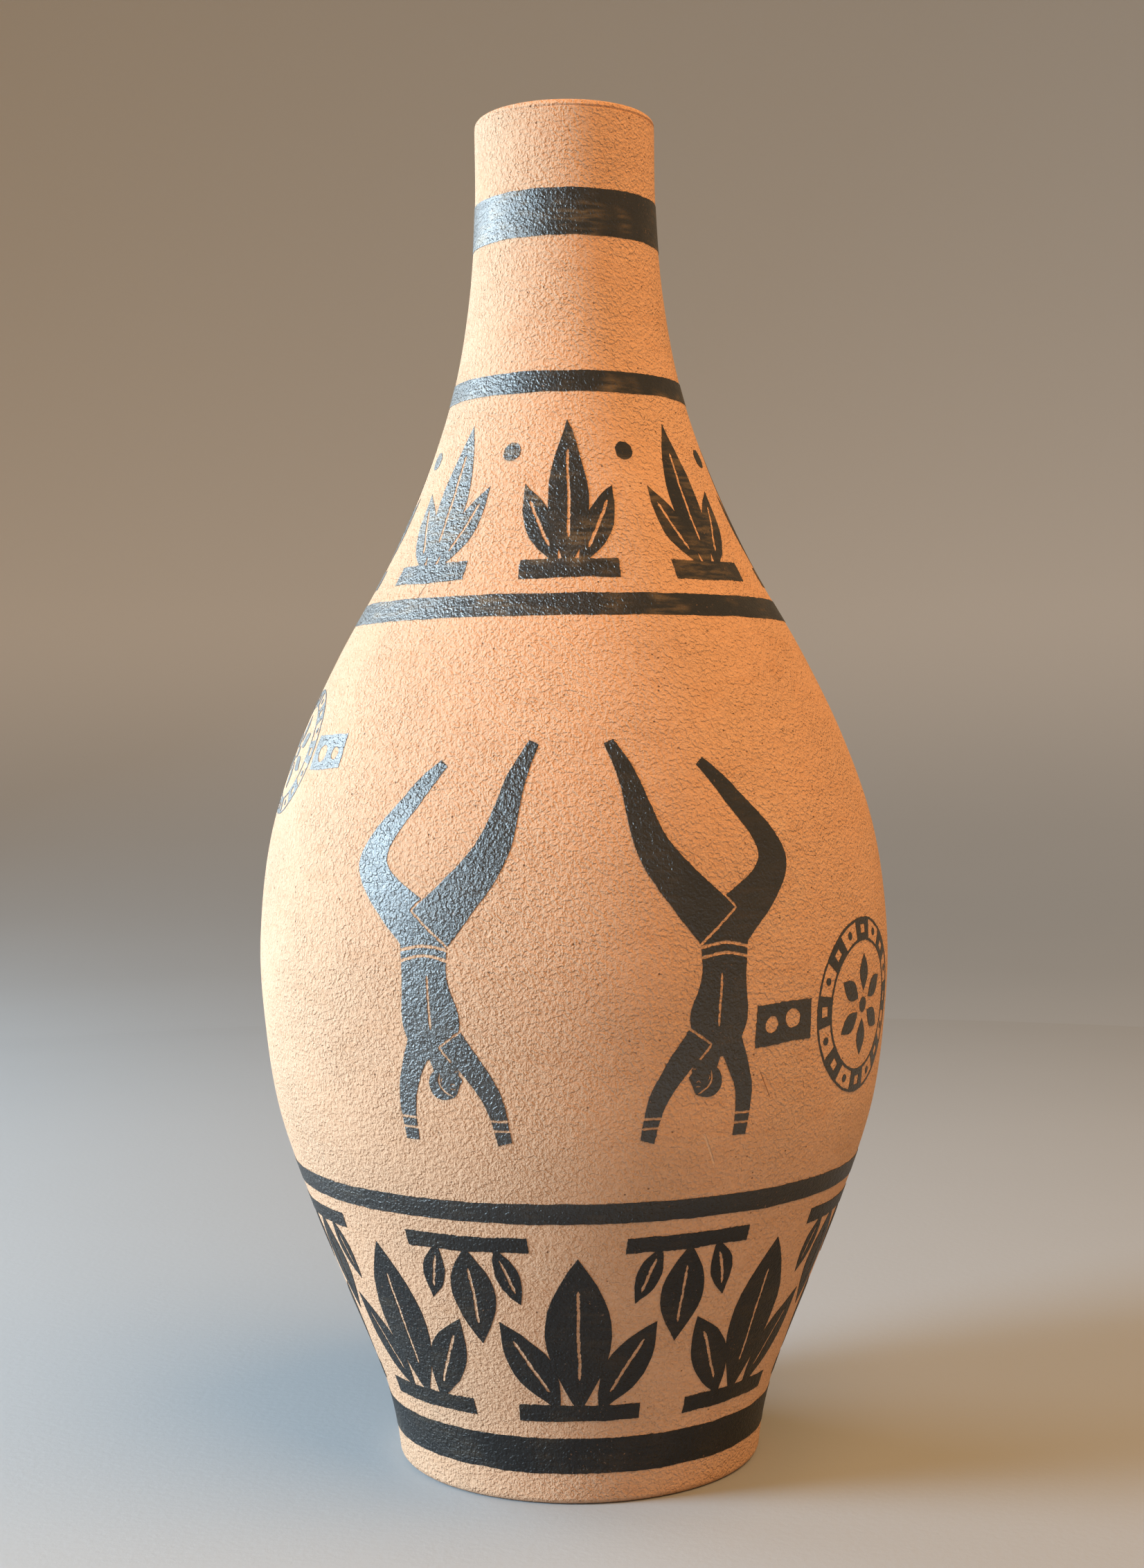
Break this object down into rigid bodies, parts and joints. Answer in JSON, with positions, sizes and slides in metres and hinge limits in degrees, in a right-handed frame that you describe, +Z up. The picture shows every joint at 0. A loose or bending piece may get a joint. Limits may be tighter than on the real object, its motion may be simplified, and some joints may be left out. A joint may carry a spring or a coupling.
{
  "type": "bottle vase",
  "caption": "Tall bottle-shaped terracotta vase with a narrow neck and ovoid body, painted in dark slip with bands, palmette friezes, roundels and two tumblers.",
  "frame": {"origin": "centre of the foot, on the surface that the vase stands on", "axes": "+Z up along the axis the vase was turned on; -Y faces the painted scene; +X to the right of it"},
  "size_m": [0.2122, 0.2122, 0.45],
  "materials": {
    "terracotta": "matt, gritty, unglazed",
    "dark_slip": "satin, brushed"
  },
  "bodies": {
    "root": {"foot_disc": "terracotta", "lower_body": "terracotta", "shoulder_section": "terracotta", "neck": "terracotta", "foot_slip_band": "dark_slip", "belly_slip_band": "dark_slip", "lower_shoulder_slip_band": "dark_slip", "upper_shoulder_slip_band": "dark_slip", "neck_slip_band": "dark_slip", "shoulder_palmettes": "dark_slip", "hanging_leaves": "dark_slip", "rising_palmettes": "dark_slip", "left_tumbler": "dark_slip", "right_tumbler": "dark_slip", "right_roundel": "dark_slip", "right_panel": "dark_slip", "left_roundel": "dark_slip", "left_panel": "dark_slip"}
  },
  "joints": []
}
